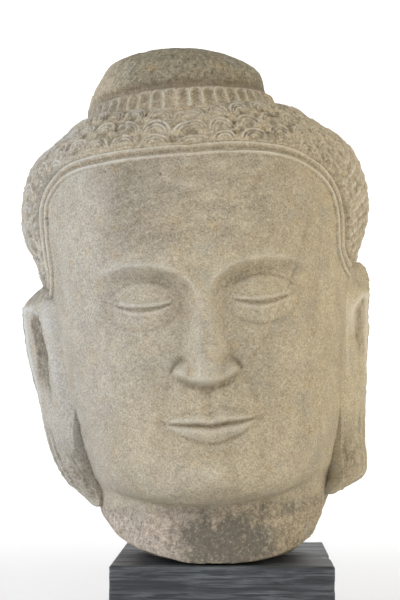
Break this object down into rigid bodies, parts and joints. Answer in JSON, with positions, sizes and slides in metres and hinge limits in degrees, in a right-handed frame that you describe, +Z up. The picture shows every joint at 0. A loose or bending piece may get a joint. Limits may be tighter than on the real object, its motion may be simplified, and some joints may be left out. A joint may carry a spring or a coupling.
{
  "type": "carved stone buddha head on a plinth block",
  "caption": "Carved sandstone Buddha head broken off at the neck, with curled hair cap, low cranial bump and long ears, on a square dark plinth.",
  "frame": {"origin": "middle of the plinth's underside", "axes": "+Z up; the face looks along -Y; +X is on the right of someone facing the front"},
  "size_m": [0.2506, 0.2548, 0.4116],
  "materials": {
    "sandstone": "matt",
    "plinth_wood": "satin"
  },
  "bodies": {
    "root": {"buddha_head": "sandstone", "plinth": "plinth_wood"}
  },
  "joints": []
}
